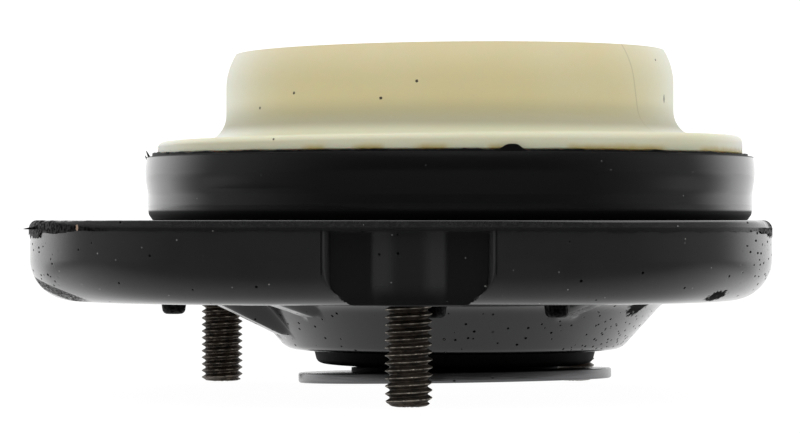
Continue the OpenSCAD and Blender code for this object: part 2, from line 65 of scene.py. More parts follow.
class Finish:
    """One socket of a material's nodes. Arithmetic on it adds Math nodes to the material."""

    def __init__(self, tree, socket=None):
        self.tree = tree
        self.socket = socket

    def node(self, kind, settings=None, sockets=None, out=0):
        """Add any node: its type, its settings, which are set first, and its sockets' values or links."""
        made = self.tree.nodes.new(kind)
        for name, value in (settings or {}).items():
            setattr(made, name, value)
        for name, value in (sockets or {}).items():
            if isinstance(value, Finish):
                self.tree.links.new(value.socket, made.inputs[name])
            else:
                made.inputs[name].default_value = value
        return Finish(self.tree, made.outputs[out])

    def maths(self, operation, first, second):
        return self.node("ShaderNodeMath", {"operation": operation}, {0: first, 1: second})

    def __add__(self, other):
        return self.maths("ADD", self, other)

    def __sub__(self, other):
        return self.maths("SUBTRACT", self, other)

    def __rsub__(self, other):
        return self.maths("SUBTRACT", other, self)

    def __mul__(self, other):
        return self.maths("MULTIPLY", self, other)

    def __truediv__(self, other):
        return self.maths("DIVIDE", self, other)

    __radd__ = __add__
    __rmul__ = __mul__

    def most(self, other):
        return self.maths("MAXIMUM", self, other)

    def size(self):
        """The value without its sign."""
        return self.most(-1 * self)

    def rise(self, low, high):
        """0 below low, 1 above high, and an even S-curve between; high may be the lower one."""
        return self.node("ShaderNodeMapRange", {"interpolation_type": "SMOOTHSTEP"},
                         {"Value": self, "From Min": low, "From Max": high})

    def line(self, place, half):
        """1 within about half of a place on this coordinate, 0 elsewhere."""
        return (self - place).size().rise(1.3 * half, 0.7 * half)

    def cloud(self, size, detail=3.0):
        """Cloudy noise from 0 to 1 on these coordinates, with lumps about size metres across."""
        return self.node("ShaderNodeTexNoise", None, {"Vector": self, "Scale": 1 / size, "Detail": detail})

    def stretched(self, x, y, z):
        """These coordinates, drawn out by a factor along each axis."""
        return self.node("ShaderNodeMapping", None, {"Vector": self, "Scale": (1 / x, 1 / y, 1 / z)})

    def specks(self, spacing, size, share):
        """Spots of about size metres, one in each cell of that spacing, in a share of the cells."""
        cell = {"Vector": self, "Scale": 1 / spacing}
        near = self.node("ShaderNodeTexVoronoi", None, cell)
        lot = self.node("ShaderNodeTexVoronoi", None, cell, "Color")
        chosen = self.node("ShaderNodeSeparateColor", None, {"Color": lot})
        return near.rise(0.6 * size / spacing, 0.4 * size / spacing) * chosen.rise(share + 0.01, share)

    def blot(self, spot, reach, stretch=(1, 1, 1)):
        """A ragged patch: 1 near a spot, given in mm, and 0 beyond about reach, or more along a stretched
        axis. It is the distance from the spot, made uneven by cloudy noise."""
        centre = tuple(value * mm for value in spot)
        away = self.node("ShaderNodeVectorMath", {"operation": "SUBTRACT"}, {0: self, 1: centre})
        span = away.stretched(*stretch)
        far = span.node("ShaderNodeVectorMath", {"operation": "LENGTH"}, {0: span}, "Value")
        return (far + 1.4 * reach * (self.cloud(0.5 * reach) - 0.5)).rise(1.1 * reach, 0.8 * reach)

    def part(self, axis):
        """One coordinate, X, Y or Z."""
        return self.node("ShaderNodeSeparateXYZ", None, {"Vector": self}, axis)

    def mark(self, name):
        """A value that the mesh carries at its points."""
        return self.node("ShaderNodeAttribute", {"attribute_name": name}, out="Fac")

    def tint(self, bare, covered):
        """The bare colour where this is 0 and the covered colour where it is 1."""
        return self.node("ShaderNodeMix", {"data_type": "RGBA"}, {0: self, 6: bare, 7: covered}, 2)


def rgb(red, green, blue):
    return (red, green, blue, 1.0)


def grey(level):
    return (level, level, 1.03 * level, 1.0)


def new_finish(name, **constants):
    """A material with its shader's constant sockets set, and the Object coordinates for its patterns."""
    material = bpy.data.materials.new(name)
    material.use_nodes = True
    shader = material.node_tree.nodes["Principled BSDF"]
    for socket, value in constants.items():
        shader.inputs[socket.replace("_", " ")].default_value = value
    start = Finish(material.node_tree)
    return material, start.node("ShaderNodeTexCoord", out="Object")


def lay_on(material, height=None, depth=0.0, **patterns):
    """Link patterns to the shader's sockets, and a height in metres, times depth, to its normal."""
    tree = material.node_tree
    shader = tree.nodes["Principled BSDF"]
    if height is not None:
        patterns["Normal"] = height.node("ShaderNodeBump", None, {"Height": height, "Distance": depth})
    for socket, pattern in patterns.items():
        tree.links.new(pattern.socket, shader.inputs[socket.replace("_", " ")])


def dress(material, *nodes):
    """Give solids of the frame this material."""
    for name in nodes:
        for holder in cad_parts[name].material_slots:
            holder.material = material


phosphate, place = new_finish("phosphated_steel", Metallic=0.85)
bloom = place.cloud(6 * mm)
grain = place.cloud(0.4 * mm)
lay_on(phosphate, grain, 0.02 * mm,
       Base_Color=bloom.rise(0.3, 0.7).tint(rgb(0.20, 0.20, 0.21), rgb(0.31, 0.31, 0.32)),
       Roughness=0.42 + 0.2 * bloom)
dress(phosphate, "carrier_plate", "seat_ring")

# Three studs: M8 bolts with a rolled thread, pressed through the carrier from above by a knurl.
# Plain steel, oiled dark and gone brown; the rolled crests are rubbed bright, the tips are cut rough.


def skin(points, close_rows=True):
    """Four-sided faces over a grid of points that closes on itself along its columns, and along its
    rows too where close_rows is set. They face outwards: the enclosed volume decides their order."""
    rows, columns = points.shape[:2]
    index = np.arange(rows * columns).reshape(rows, columns)
    index = np.hstack((index, index[:, :1]))
    if close_rows:
        index = np.vstack((index, index[:1]))
    quads = np.stack((index[:-1, :-1], index[:-1, 1:], index[1:, 1:], index[1:, :-1]), -1).reshape(-1, 4)
    corners = points.reshape(-1, 3)[quads]
    first = np.einsum("ij,ij", corners[:, 0], np.cross(corners[:, 1], corners[:, 2]))
    second = np.einsum("ij,ij", corners[:, 0], np.cross(corners[:, 2], corners[:, 3]))
    return quads if first + second > 0 else quads[:, ::-1]


def make_piece(name, grids, material, crease=35, marks=None):
    """One mesh object from closed point grids in metres. Each grid is (points, close_rows), and marks
    are named values per point, for the material. Points that fall together at a pole are merged."""
    points = np.vstack([grid.reshape(-1, 3) for grid, _ in grids])
    starts = np.cumsum([0] + [grid.shape[0] * grid.shape[1] for grid, _ in grids])
    quads = np.vstack([skin(grid, closed) + start for (grid, closed), start in zip(grids, starts)])
    mesh = bpy.data.meshes.new(name)
    mesh.from_pydata(points.tolist(), [], quads.tolist())
    for label, values in (marks or {}).items():
        mark = mesh.attributes.new(label, "FLOAT", "POINT")
        mark.data.foreach_set("value", np.asarray(values, np.float32).ravel())
    weld = bpy.data.objects.new(name, mesh)
    bpy.context.scene.collection.objects.link(weld)
    poles = weld.modifiers.new("poles", "WELD")
    poles.merge_threshold = 0.0002 * mm
    evaluated = weld.evaluated_get(bpy.context.evaluated_depsgraph_get())
    weld.data = bpy.data.meshes.new_from_object(evaluated)
    weld.modifiers.clear()
    bpy.data.meshes.remove(mesh)
    weld.data.name = name
    weld.data.shade_smooth()
    weld.data.set_sharp_from_angle(angle=math.radians(crease))
    weld.data.materials.clear()
    weld.data.materials.append(material)
    return weld


def fit(piece, body, slot, *nodes):
    """The piece rides on its body and stands for its solids, which are hidden. Its slot is not used."""
    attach(piece, body)
    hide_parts(*nodes)


def ragged(angle, seed, coarse=9, fine=160):
    """An uneven value from about -1 to 1 round a circle: a sum of sine waves of whole numbers of turns,
    from coarse to fine, each with its own phase, weaker as they get finer."""
    draw = np.random.default_rng(seed)
    turns = np.unique(np.geomspace(coarse, fine, 24).astype(int))
    phase = draw.uniform(0, 2 * np.pi, turns.size)
    weight = turns ** -0.5
    waves = np.sin(np.multiply.outer(angle, turns) + phase) @ weight
    return waves / np.sqrt((weight ** 2).sum() / 2) / 2


thread_r = 3.9 * mm
thread_root_r = 3.15 * mm
thread_pitch = 1.25 * mm
thread_top = 0.2 * mm
thread_sides = 72
rows_per_turn = 10
root_flat = 0.18
flank = 0.74
chip_h = 0.12 * mm
knurl_r = 4.4 * mm
stud_head_r = 6.0 * mm
stud_head_h = 2.4 * mm


def threaded_stud(node, seed, dome_h, worn_h, start):
    """A stud on the node's own axis, as a radius over (height, angle). On the shank the radius goes from
    root to crest with a triangle wave of height less the turn's share of the pitch, cut flat at both and
    begun at a start of its own. A rounded end limits it near the tip, and plain steps follow for the
    knurl and the head. With it comes the mark of the crests."""
    low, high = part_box(node)
    centre = (low + high) / 2
    tip_z = low.z + worn_h
    head_low = high.z - stud_head_h
    shank = np.linspace(tip_z, thread_top, int(rows_per_turn * (thread_top - tip_z) / thread_pitch))
    above = np.array([thread_top, head_low, head_low, high.z, high.z])
    height = np.concatenate((shank, above))[:, None]
    angle = np.linspace(0, 2 * np.pi, thread_sides, endpoint=False)[None, :]
    phase = (height / thread_pitch - angle / (2 * np.pi) + start) % 1
    crest = np.clip((np.abs(2 * phase - 1) - root_flat) / flank, 0, 1)
    radius = thread_root_r + (thread_r - thread_root_r) * crest
    up = np.clip((height - tip_z) / dome_h, 0, 1)
    chipped = chip_h * (up < 1) * ragged(angle, seed)
    tip = thread_r * (0.5 + 0.5 * np.sqrt(1 - (1 - up) ** 2)) + chipped
    radius = np.minimum(radius, tip)
    plain = above.size
    radius[-plain:] = np.array([knurl_r, knurl_r, stud_head_r, stud_head_r, 0])[:, None]
    ends = np.zeros((1, thread_sides))
    radius = np.vstack((ends, radius))
    crest = np.vstack((ends, crest))
    crest[-plain:] = 0
    height = np.vstack(([[tip_z]], height)) + 0 * angle
    height[1] += chip_h * np.clip(0.5 + ragged(angle[0], seed + 1), 0, 1)
    grid = np.stack((centre.x + radius * np.cos(angle), centre.y + radius * np.sin(angle), height), -1)
    return grid, crest


brown_steel, place = new_finish("oiled_brown_steel", Metallic=0.8)
rust = place.cloud(1.4 * mm, 5.0).rise(0.35, 0.7)
rub_and_painted_light = place.mark("crest").rise(0.82, 1.0) * place.cloud(0.7 * mm).rise(0.25, 0.55)
dark_flank = rust.tint(rgb(0.060, 0.052, 0.045), rgb(0.125, 0.100, 0.078))
lay_on(brown_steel, place.cloud(0.25 * mm), 0.03 * mm,
       Base_Color=rub_and_painted_light.tint(dark_flank, rgb(0.52, 0.47, 0.40)),
       Roughness=0.50 - 0.20 * rub_and_painted_light)
# Of each stud: the height of its domed tip, how much of it is worn off, where in a turn its thread begins
# and how bright its crests are rubbed. The side studs' crests are kept dimmer as painted shade, since they
# stand further back.
stud_forms = {"stud_front": (1.4 * mm, 0.2 * mm, 0.16, 1.0),
              "stud_left": (0.7 * mm, 0.05 * mm, 0.41, 0.9),
              "stud_right": (0.9 * mm, 0.0, 0.16, 0.88)}
first_seed = 11
for seed, (node, (dome_h, worn_h, start, crest_rub_and_shade)) in enumerate(stud_forms.items()):
    grid, crest = threaded_stud(node, first_seed + 2 * seed, dome_h, worn_h, start)
    stud = make_piece(node + "_thread", [(grid, False)], brown_steel, 30, {"crest": crest_rub_and_shade * crest})
    fit(stud, "mount", "stud_steel", node)

# Rubber jacket: one moulding round the carrier. A thick plate with a rolled lower edge, a recess and a
# boss round the front stud, a hollow cone below with webs and small nubs, and a throat for the bush.
# Black rubber with a satin skin, dusty and pitted, and torn flash along the mould's parting line.

plate_low, plate_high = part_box("rubber_jacket")
front_stud_low, front_stud_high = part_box("stud_front")
front_stud = (front_stud_low + front_stud_high) / 2
plate_top = plate_high.z
parting_z = plate_top - 1.6 * mm
corner_r = 46 * mm
rim_proud = 0.25 * mm
roll_r = 7.2 * mm
seat_outer_r = 52.5 * mm
seat_floor_z = plate_top - 2.05 * mm


def plate_path():
    """The plate's outline, seen from above, from the front of its right corner anticlockwise: the inner
    points that the round corners turn about, and the outward normal at each. The straight stretches
    share their normal, and the front is closely spaced, for the recess and the torn flash."""
    right, left = plate_high.x - corner_r, plate_low.x + corner_r
    back, front = plate_high.y - corner_r, plate_low.y + corner_r
    close = np.linspace(0, np.pi / 2, 176)
    wide = np.linspace(0, np.pi / 2, 84)
    side = np.linspace(0, 1, 14)[1:-1]
    near = np.linspace(0, 1, 260)[1:-1]
    angle = np.concatenate((-np.pi / 2 + close, 0 * side, wide, np.pi / 2 + 0 * side, np.pi / 2 + wide,
                            np.pi + 0 * side, np.pi + close, 1.5 * np.pi + 0 * near))
    x = np.concatenate((right + 0 * close, right + 0 * side, right + 0 * wide,
                        right + (left - right) * side, left + 0 * wide, left + 0 * side,
                        left + 0 * close, left + (right - left) * near))
    y = np.concatenate((front + 0 * close, front + (back - front) * side, back + 0 * wide,
                        back + 0 * side, back + 0 * wide, back + (front - back) * side,
                        front + 0 * close, front + 0 * near))
    return np.stack((x, y), -1), np.stack((np.cos(angle), np.sin(angle)), -1)


core, outward = plate_path()
rim = core + corner_r * outward
bearing = np.arctan2(rim[:, 1], rim[:, 0])
from_axis = np.stack((np.cos(bearing), np.sin(bearing)), -1)

recess_half = 12.7 * mm
recess_depth = 2.8 * mm
recess_corner_r = 4.5 * mm
recess_lip = 1.9 * mm
recess_edge_r = 0.3 * mm
boss_r = 10.65 * mm
boss_soft = 0.5 * mm


def s_curve(value, low, high):
    """0 below low and 1 above high, with an even S-curve between."""
    share = np.clip((value - low) / (high - low), 0, 1)
    return share * share * (3 - 2 * share)


def hump(centre_deg, width_deg):
    """A bell-shaped swell along the plate's rim: 1 at a bearing, fading over a width to each side."""
    off = np.angle(np.exp(1j * (bearing - np.radians(centre_deg))))
    return np.exp(-(off / np.radians(width_deg)) ** 2)


def recess_share(x, z):
    """How far a point of the front belongs to the recess, from 0 to 1: its distance inside a U-shaped
    outline with round lower corners, over the width of the rounded lip, along a quarter circle. The lip
    gets narrow at the bottom."""
    low = np.clip(recess_corner_r - z, 0, recess_corner_r)
    half = recess_half - recess_corner_r + np.sqrt(recess_corner_r ** 2 - low ** 2)
    lip = recess_lip * (0.3 + 0.7 * s_curve(z, 2 * mm, 7 * mm))
    inside = np.clip((half + lip - np.abs(x - front_stud.x)) / lip, 0, 1)
    return 1 - np.sqrt(1 - inside ** 2)


def recess_wall(x):
    """Distance of the recess's wall behind the plate's rim: flat, with the boss's cylinder standing out
    of it, blended softly where they meet."""
    wall = rim_proud + recess_depth
    reach = np.sqrt(np.clip(boss_r ** 2 - (x - front_stud.x) ** 2, 0, None))
    boss = front_stud.y - plate_low.y - reach
    apart = np.clip(0.5 + (boss - wall) / (2 * boss_soft), 0, 1)
    return boss + (wall - boss) * apart - boss_soft * apart * (1 - apart)


cone_top_r = 38.1 * mm
cone_low = -9.1 * mm
cone_bottom_r = 29.9 * mm
cone_slope = (cone_top_r - cone_bottom_r) / -cone_low
cone_lean = math.atan(cone_slope)
cone_flare_r = 6.0 * mm
cone_edge_r = 3.2 * mm
cone_x = 0.8 * mm
cone_sweeps = 10


def cone_r(height, depth=0.0):
    """The cone's radius at a height, on its face or at a depth under it."""
    return cone_top_r + cone_slope * height - depth * math.sqrt(1 + cone_slope * cone_slope)


web_reach = 46.4 * mm
web_stand = 0.5 * mm
web_half = 1.2 * mm
web_soft = 1.8 * mm
webs = {205: 6.3 * mm, 227: 2.8 * mm, 302: 2.8 * mm}


def with_webs(rows):
    """Rows of the underside, drawn down where a web stands: towards the straight line from the web's end on
    the plate to its foot on the cone, by an S-curve of the distance from the web's middle plane."""
    away = np.hypot(rows[..., 0], rows[..., 1])
    for web_deg, depth in webs.items():
        foot = cone_r(-depth) + web_stand
        line = -depth * np.clip((web_reach - away) / (web_reach - foot), 0, 1)
        off = np.arctan2(rows[..., 1], rows[..., 0]) - math.radians(web_deg)
        share = s_curve(web_half + web_soft - away * np.abs(np.sin(off)), 0, web_soft) * (np.cos(off) > 0)
        rows[..., 2] += share * np.minimum(line - rows[..., 2], 0)
    return rows


def jacket_skin():
    """The jacket's closed skin, row by row round the axis: out over the top, down the rim band, in under
    the parting line, down the wall and round the roll, in along the underside, down the flared cone, which
    stands a little to the right, and up again inside along the steel. A row is the plate's path moved
    inwards, or a circle, or a blend. With it come two marks: how torn the flash is, and how far a point
    lies in the recess."""
    columns = rim.shape[0]
    level = np.ones(columns)
    front = outward[:, 1] < -0.9999

    def moved_in(inset, z):
        flat = core + (corner_r - np.asarray(inset)[..., None]) * outward
        return np.dstack((np.broadcast_to(flat, z.shape + (2,)), z))

    def circle(radius, z):
        return np.append(radius * from_axis, np.full((columns, 1), z), 1)

    def between(first, second, count):
        share = np.linspace(0, 1, count + 2)[1:-1, None, None]
        return first + share * (second - first)

    left_end, right_end = hump(201, 13), hump(-20, 9)
    ends = np.clip(left_end + right_end, 0, 1)
    strip = s_curve(rim[:, 0], 12 * mm, 30 * mm) * s_curve(-rim[:, 1], 10 * mm, 30 * mm)
    torn = np.clip(ends + 0.4 * strip + 0.3 * hump(75, 25), 0, 1)
    shred = np.clip(0.5 + 0.8 * ragged(bearing, 6, 30, 260), 0, 1)
    drop = (0.08 + 0.10 * shred + 1.4 * torn ** 2 * (0.4 + 0.6 * shred)) * mm
    dip = 0.3 * mm * ends * np.clip(0.5 + ragged(bearing, 7, 50, 420), 0, 1)

    top = circle(seat_outer_r, plate_top)
    softened = s_curve(rim[:, 0], 5 * mm, 30 * mm) * s_curve(-rim[:, 1], 0, 20 * mm)
    worn_left, worn_right = 1.3 * hump(197, 9), 1.1 * hump(-20, 14)
    edge_r = (0.16 + 0.3 * softened + worn_left + worn_right) * mm
    bend = np.linspace(0, np.pi / 2, 7)[:, None]
    edge = moved_in(edge_r * (1 - np.sin(bend)), plate_top - dip - edge_r * (1 - np.cos(bend)))
    band = moved_in(np.zeros((2, columns)), np.stack((level * (parting_z + 0.25 * mm), parting_z - drop)))

    walls, curls = 10, 42
    wall_z = np.linspace(parting_z, roll_r, walls)
    on = np.linspace(0, 1, curls + 1)[1:]
    curl = on * np.pi / 2
    plain_in = np.concatenate((np.full(walls, rim_proud), rim_proud + roll_r * (1 - np.cos(curl))))
    plain_z = np.concatenate((wall_z, roll_r * (1 - np.sin(curl))))
    wall_end, edge_end = 0.6, 0.8
    down = np.clip(on / wall_end, 0, 1)
    round_off = np.clip((on - wall_end) / (edge_end - wall_end), 0, 1) * np.pi / 2
    square_roll = roll_r + (recess_edge_r - roll_r) * down - recess_edge_r * np.sin(round_off)
    square_z = np.concatenate((wall_z, square_roll))
    set_back = np.concatenate((np.zeros(walls), recess_edge_r * (1 - np.cos(round_off))))[:, None]
    along = np.concatenate((np.zeros(walls), np.clip((on - edge_end) / (1 - edge_end), 0, 1)))[:, None]
    x = rim[None, :, 0]
    deep = recess_wall(x) + set_back
    deep = deep + along * (rim_proud + roll_r - deep)
    share = np.where(front[None, :], recess_share(x, square_z[:, None]), 0)
    flush_right = 0.22 * mm * hump(-8, 18)
    inset = plain_in[:, None] + share * (deep - plain_in[:, None]) - flush_right
    z = plain_z[:, None] + share * (square_z - plain_z)[:, None]
    step_in = moved_in(np.stack((inset[0] * 0.15, inset[0] * 0.6)),
                       np.stack((parting_z - drop, level * parting_z)))
    wall = moved_in(inset, z)

    sweep = np.linspace(np.pi / 2, np.pi - cone_lean, cone_sweeps)
    flare_c = cone_r(-cone_flare_r, -cone_flare_r)
    flare = np.stack((flare_c + cone_flare_r * np.cos(sweep), cone_flare_r * (np.sin(sweep) - 1)))
    sweep = np.linspace(-cone_lean, -np.pi / 2, cone_sweeps)
    hem_z = cone_edge_r + cone_low
    hem = np.stack((cone_r(hem_z, cone_edge_r) + cone_edge_r * np.cos(sweep),
                    hem_z + cone_edge_r * np.sin(sweep)))
    hole_r, throat_r = 25.35 * mm, 36.6 * mm
    cup_low, deck_low, deck_high = -6.75 * mm, 3.95 * mm, 6.55 * mm
    steel_skin, steel_inset = 2.4 * mm, 4.95 * mm
    inside = np.array([[hole_r, hole_r, cone_r(cup_low, steel_skin), cone_r(deck_low, steel_skin)],
                       [cone_low, cup_low, cup_low, deck_low]])
    spun = np.stack([circle(r, h) for r, h in np.hstack((flare, hem, inside)).T])
    outer = 2 * cone_sweeps
    spun[:outer, :, 0] += cone_x
    steel_edge = moved_in(np.full((2, columns), steel_inset),
                          np.stack((level * deck_low, level * deck_high)))
    throat = np.stack((circle(throat_r, deck_high), circle(throat_r, seat_floor_z),
                       circle(seat_outer_r, seat_floor_z)))
    edge_margin = 0.5 * mm
    near_edge = moved_in(edge_r[None] + edge_margin, plate_top * level[None])[0]
    flat = np.concatenate((top[None], between(top, near_edge, 2), near_edge[None]))
    above = np.concatenate((flat, edge, band, step_in))
    web_end = circle(web_reach, 0.0)
    flare_end, hem_start = spun[cone_sweeps - 1], spun[cone_sweeps]
    under = np.concatenate((between(wall[-1], web_end, 2), web_end[None], between(web_end, spun[0], 5),
                            spun[:cone_sweeps], between(flare_end, hem_start, 6), spun[cone_sweeps:outer]))
    below = np.concatenate((with_webs(under), spun[outer:], steel_edge, throat))
    torn_mark = np.zeros((above.shape[0], columns))
    band_start = flat.shape[0] + edge.shape[0]
    torn_mark[flat.shape[0]:band_start] = 0.7 * ends
    torn_mark[band_start:] = np.clip(0.34 + 0.8 * ends, 0, 1)
    blank_above, blank_below = np.zeros(above.shape[:2]), np.zeros(below.shape[:2])
    torn_mark = np.concatenate((torn_mark, 0 * share, blank_below))
    hollow_mark = np.concatenate((blank_above, share, blank_below))
    return np.concatenate((above, wall, below)), torn_mark, hollow_mark


def eased(corners, steps=7):
    """The outline through corners (x, y, radius), each rounded by a true arc: a quadratic curve between
    the two tangent points with the middle weighted by the sine of half the corner's angle. A corner
    without a radius stays one point."""
    corners = np.asarray(corners, float)
    spot, radius = corners[:, :2], corners[:, 2]
    before = np.roll(spot, 1, 0) - spot
    after = np.roll(spot, -1, 0) - spot
    before /= np.linalg.norm(before, axis=1)[:, None]
    after /= np.linalg.norm(after, axis=1)[:, None]
    half = np.arccos(np.clip((before * after).sum(1), -1, 1)) / 2
    back = radius / np.tan(half)
    share = np.linspace(0, 1, steps)[None, :, None]
    middle = 2 * share * (1 - share) * np.sin(half)[:, None, None]
    first, last = (1 - share) ** 2, share ** 2
    start = (spot + back[:, None] * before)[:, None]
    end = (spot + back[:, None] * after)[:, None]
    curve = (first * start + middle * spot[:, None] + last * end) / (first + middle + last)
    keep = (radius[:, None] > 0) | (np.arange(steps) == 0)
    return curve[keep]


def turned(profile, sides=256, centre=(0, 0)):
    """A form turned on a lathe: each (radius, height) of the profile carried round an upright axis."""
    angle = np.linspace(0, 2 * np.pi, sides, endpoint=False)
    radius, height = profile[:, :1], profile[:, 1:]
    return np.stack((centre[0] + radius * np.cos(angle), centre[1] + radius * np.sin(angle),
                     height + 0 * angle), -1)


def thorn(root, tip, width, sides=8):
    """A torn tag of rubber: a thin cone round the line from root to tip, in mm, closed at both ends."""
    root, tip = np.array(root) * mm, np.array(tip) * mm
    way = (tip - root) / np.linalg.norm(tip - root)
    across = np.cross(way, (0.0, 0.6, 0.8))
    across /= np.linalg.norm(across)
    angle = np.linspace(0, 2 * np.pi, sides, endpoint=False)[None, :, None]
    ring = np.cos(angle) * across + np.sin(angle) * np.cross(across, way)
    share = np.array([0, 0, 0.4, 0.8, 1])[:, None, None]
    radius = np.array([0, 1, 0.7, 0.35, 0])[:, None, None] * width * mm
    return root + share * (tip - root) + radius * ring


nub_profile = eased(np.array([(0, 1.0, 0), (2.2, 1.0, 0), (2.2, -0.2, 0.1), (1.9, -2.4, 0.9),
                              (0, -2.4, 0)]) * mm)
nub_spots = np.array([(-48, -20), (-3.3, -41), (17.3, -39)]) * mm
plate_grid, torn_mark, hollow_mark = jacket_skin()
small_grids = [(turned(nub_profile, 32, spot), True) for spot in nub_spots]
small_grids += [(thorn((-70.8, -30, 12.5), (-72.9, -30.6, 12.3), 0.28), False)]
# The nubs under the plate and the torn tag carry this value in the torn mark, which makes them near-black
# and unreflecting. On the nubs that is painted shade; on the tag it is dark flash.
nub_shade_tag_flash = 0.45
dark = np.full(sum(grid.shape[0] * grid.shape[1] for grid, _ in small_grids), nub_shade_tag_flash)

satin_rubber, place = new_finish("dusty_satin_rubber", Specular_IOR_Level=0.5, Coat_Roughness=0.14)
x, y, z = place.part("X"), place.part("Y"), place.part("Z")
haze = place.cloud(9 * mm)
coarse_grain = place.cloud(0.5 * mm, 5.0)
at_ends = x.rise(-65 * mm, -68 * mm).most(x.rise(47 * mm, 50 * mm))
on_wall = z.rise(0.5 * mm, 2.5 * mm)
on_front = y.rise(-5 * mm, -12 * mm)
dashes = place.stretched(2.2, 2.2, 1).specks(1.0 * mm, 0.42 * mm, 0.7) * at_ends * on_wall
on_cone = z.rise(-1 * mm, -2.5 * mm)
close_pits = place.specks(1.0 * mm, 0.45 * mm, 0.5) * x.rise(14 * mm, 20 * mm)
pits = place.specks(1.5 * mm, 0.5 * mm, 0.5).most(close_pits) * on_cone
dents = place.specks(2.5 * mm, 0.5 * mm, 0.3)
band = z.rise(11.6 * mm, 12.1 * mm) * place.cloud(0.5 * mm, 4.0).rise(0.42, 0.62)
along_roll = z + 0.33 * x
scuff = along_roll.line(-20.4 * mm, 0.8 * mm) * x.rise(-59 * mm, -64 * mm) * on_front
scuff = scuff * place.cloud(0.3 * mm, 4.0).rise(0.3, 0.55)
burnt = place.blot((43.7, -40.3, 1.2), 1.35 * mm, (2.0, 2.0, 0.8))
burnt = burnt.most(place.blot((33.2, -20.5, -1.5), 2.2 * mm, (1.6, 1.6, 0.7)))
beside_recess = (x - front_stud.x).size().line(14.0 * mm, 0.14 * mm) * z.rise(4 * mm, 6 * mm)
beside_recess = beside_recess * z.rise(12.6 * mm, 12.2 * mm) * on_front
# The torn mark also carries the nubs' painted shade.
torn = place.mark("torn")
flash = torn.rise(0.2, 0.5) * (0.75 + 0.25 * coarse_grain.rise(0.4, 0.6))
black = flash.most(dashes).most(pits).most(dents).most(scuff).most(burnt).most(0.6 * beside_recess)
dust = place.specks(1.5 * mm, 0.2 * mm, 0.2)
chip = place.blot((-62.1, -44.9, 12.6), 0.35 * mm, (1, 1, 1.6))
scratch = place.blot((23.3, -60.5, 8.7), 0.45 * mm, (0.5, 1, 1.2))
hollow = place.mark("hollow")
# The recess's lip and the boss's sides are painted lighter grey, the boss's middle less: a painted
# reflection of the studio's sides, over some rub.
on_lip = hollow.rise(0.01, 0.08) * hollow.rise(0.9, 0.5)
across = (x - front_stud.x).size()
on_boss = across.rise(6.4 * mm, 5.4 * mm) * (0.3 + 0.7 * across.rise(1.5 * mm, 4 * mm)) * hollow
# Grey wear on the plate, fading out towards the bottom. Inside the recess most of it is taken away, which
# is painted shade.
grey_wear_recess_shade = z.rise(-0.5 * mm, 3 * mm) * (1 - 0.85 * hollow) * (0.6 + 0.8 * haze)
rub_and_painted_light = (0.9 * on_lip).most(on_boss) * z.rise(1 * mm, 4 * mm)
rubber_tone = grey_wear_recess_shade.tint(grey(0.003), grey(0.017))
rubber_tone = rub_and_painted_light.tint(rubber_tone, grey(0.028))
rubber_tone = black.tint((0.8 * band).tint(rubber_tone, grey(0.025)), grey(0.002))
rubber_tone = dust.most(0.6 * scratch).tint(rubber_tone, rgb(0.40, 0.40, 0.38))
lay_on(satin_rubber, 0.05 * place.cloud(0.35 * mm) - 0.9 * black + 0.5 * flash * coarse_grain, 0.12 * mm,
       Base_Color=chip.tint(rubber_tone, rgb(0.60, 0.44, 0.33)),
       Roughness=(0.17 + 0.05 * haze).most(0.85 * black.most(dust)),
       Metallic=black, Coat_Weight=0.6 - 0.6 * black)
jacket = make_piece("moulded_jacket", [(plate_grid, True)] + small_grids, satin_rubber, 35,
                    {"torn": np.concatenate((torn_mark.ravel(), dark)),
                     "hollow": np.concatenate((hollow_mark.ravel(), 0 * dark))})
fit(jacket, "mount", "jacket_rubber", "rubber_jacket")

# Bush, inner sleeve, rebound disc and stop washer: rubber bonded between the carrier's cup and a flanged
# steel sleeve for the piston rod, with a steel disc under the neck and a washer on the sleeve's top.
# The rubber is bare black; the disc hangs loose and leans, satin from stamping; the rest is zinc-grey.

neck_x = 0.9 * mm
bush_corners = [(9.05, -11.7, 0.2), (24.62, -11.7, 1.2), (25.25, -9.15, 0), (25.25, -9.1, 0),
                (25.25, -4.15, 0), (27.6, -4.15, 0), (36.75, 6.0, 0.5), (29, 6.0, 1.2), (27, 4.0, 1.2),
                (15, 4.0, 1.2), (13, 6.0, 1.2), (9.05, 6.0, 0.4), (9.05, 1.85, 0), (21.05, 1.85, 0),
                (21.05, -0.75, 0), (9.05, -0.75, 0)]
bush_black, place = new_finish("bare_bush_rubber", Specular_IOR_Level=0.06)
bloom = place.cloud(3 * mm)
lay_on(bush_black, place.cloud(0.3 * mm), 0.04 * mm,
       Base_Color=bloom.tint(grey(0.0015), grey(0.003)), Roughness=0.55 + 0.10 * bloom)
bush_profile = eased(np.array(bush_corners) * mm)
is_neck = (bush_profile[:, :1] > 12 * mm) & (bush_profile[:, 1:] < -9.12 * mm)
bush = make_piece("bonded_bush", [(turned(bush_profile, 256, (neck_x * is_neck, 0)), True)], bush_black)
fit(bush, "mount", "bush_rubber", "bush_rubber")

sleeve_corners = [(6.05, -12.0, 0.4), (9.0, -12.0, 0.4), (9.0, -0.7, 0.3), (21.0, -0.7, 0.5),
                  (21.0, 1.8, 0.5), (9.0, 1.8, 0.3), (9.0, 10.8, 0.4), (6.05, 10.8, 0.5)]
zinc, place = new_finish("zinc_grey_steel", Metallic=0.95)
spangle = place.cloud(2.5 * mm)
lay_on(zinc, place.stretched(1, 1, 0.1).cloud(0.8 * mm), 0.01 * mm,
       Base_Color=spangle.tint(rgb(0.36, 0.36, 0.37), rgb(0.50, 0.50, 0.50)),
       Roughness=0.28 + 0.18 * spangle)
sleeve = make_piece("flanged_sleeve", [(turned(eased(np.array(sleeve_corners) * mm)), True)], zinc)
fit(sleeve, "mount", "pressed_steel", "inner_sleeve")

